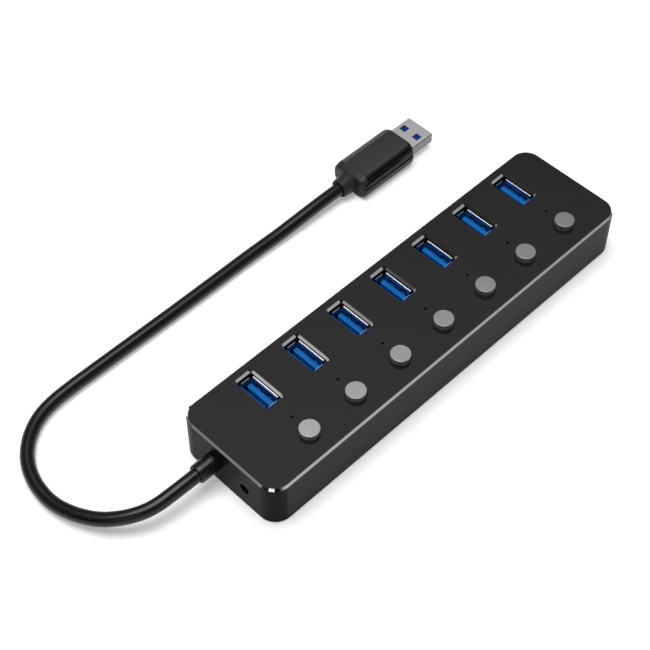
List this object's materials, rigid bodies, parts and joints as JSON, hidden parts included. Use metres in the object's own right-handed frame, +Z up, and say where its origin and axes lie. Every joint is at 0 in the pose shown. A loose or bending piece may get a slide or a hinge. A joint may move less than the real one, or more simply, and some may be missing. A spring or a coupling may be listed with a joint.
{
  "type": "usb hub",
  "caption": "Slim dark grey USB hub with a row of upright sockets, a round push switch and light beside each, a DC inlet and a short captive cable with a USB-A plug.",
  "frame": {"origin": "on the surface that the feet stand on, under the middle of the housing", "axes": "+X along the row of ports, away from the cable end; +Y from the switches towards the ports; +Z up"},
  "size_m": [0.2126, 0.0931, 0.0208],
  "materials": {
    "housing": "bead-blasted, dark grey anodised, with a polished chamfer",
    "cover": "fine matte",
    "screw_steel": "zinc plated",
    "foot_rubber": "matte",
    "board": "green solder mask on glass-fibre board",
    "chip": "moulded epoxy",
    "crystal_can": "plain",
    "capacitor": "sleeved can",
    "inductor": "pressed ferrite",
    "fuse": "matte",
    "led": "clear resin",
    "light_guide": "clear acrylic",
    "socket_steel": "bright tinned sheet",
    "port_blue": "moulded, bright blue",
    "contact_gold": "gold plated",
    "button_silver": "satin, turned",
    "plunger_white": "moulded",
    "switch_black": "moulded",
    "pin_tin": "tinned",
    "jack_black": "moulded",
    "cable_black": "smooth, semi-gloss jacket",
    "lead_wire": "insulated wire",
    "grip_black": "smooth, semi-gloss moulding",
    "plug_steel": "satin nickel"
  },
  "bodies": {
    "hub": {"housing": "housing", "bottom_cover": "cover", "cover_screws": "screw_steel", "rubber_feet": "foot_rubber", "main_board": "board", "board_screws": "screw_steel", "hub_controllers": "chip", "board_crystals": "crystal_can", "port_capacitors": "capacitor", "power_inductor": "inductor", "limit_fuses": "fuse", "status_leds": "led", "light_guides": "light_guide", "socket_shell_1": "socket_steel", "socket_shell_2": "socket_steel", "socket_shell_3": "socket_steel", "socket_shell_4": "socket_steel", "socket_shell_5": "socket_steel", "socket_shell_6": "socket_steel", "socket_shell_7": "socket_steel", "socket_tongue_1": "port_blue", "socket_tongue_2": "port_blue", "socket_tongue_3": "port_blue", "socket_tongue_4": "port_blue", "socket_tongue_5": "port_blue", "socket_tongue_6": "port_blue", "socket_tongue_7": "port_blue", "socket_contacts": "contact_gold", "switch_case_1": "switch_black", "switch_case_2": "switch_black", "switch_case_3": "switch_black", "switch_case_4": "switch_black", "switch_case_5": "switch_black", "switch_case_6": "switch_black", "switch_case_7": "switch_black", "switch_pins": "pin_tin", "jack_body": "jack_black", "jack_pin": "pin_tin", "jack_spring": "pin_tin", "cable_gland": "cable_black", "cable_leads": "lead_wire", "cable": "cable_black", "plug_grip": "grip_black", "plug_shell": "plug_steel", "plug_insulator": "port_blue", "plug_contacts": "contact_gold"},
    "button_1": {"button_cap_1": "button_silver", "plunger_1": "plunger_white"},
    "button_2": {"button_cap_2": "button_silver", "plunger_2": "plunger_white"},
    "button_3": {"button_cap_3": "button_silver", "plunger_3": "plunger_white"},
    "button_4": {"button_cap_4": "button_silver", "plunger_4": "plunger_white"},
    "button_5": {"button_cap_5": "button_silver", "plunger_5": "plunger_white"},
    "button_6": {"button_cap_6": "button_silver", "plunger_6": "plunger_white"},
    "button_7": {"button_cap_7": "button_silver", "plunger_7": "plunger_white"}
  },
  "joints": [
    {"name": "press_1", "type": "slide", "parent": "hub", "child": "button_1", "axis": [0, 0, -1], "range_m": [0, 0.0015], "stiffness_N_per_m": 1000},
    {"name": "press_2", "type": "slide", "parent": "hub", "child": "button_2", "axis": [0, 0, -1], "range_m": [0, 0.0015], "stiffness_N_per_m": 1000},
    {"name": "press_3", "type": "slide", "parent": "hub", "child": "button_3", "axis": [0, 0, -1], "range_m": [0, 0.0015], "stiffness_N_per_m": 1000},
    {"name": "press_4", "type": "slide", "parent": "hub", "child": "button_4", "axis": [0, 0, -1], "range_m": [0, 0.0015], "stiffness_N_per_m": 1000},
    {"name": "press_5", "type": "slide", "parent": "hub", "child": "button_5", "axis": [0, 0, -1], "range_m": [0, 0.0015], "stiffness_N_per_m": 1000},
    {"name": "press_6", "type": "slide", "parent": "hub", "child": "button_6", "axis": [0, 0, -1], "range_m": [0, 0.0015], "stiffness_N_per_m": 1000},
    {"name": "press_7", "type": "slide", "parent": "hub", "child": "button_7", "axis": [0, 0, -1], "range_m": [0, 0.0015], "stiffness_N_per_m": 1000}
  ]
}
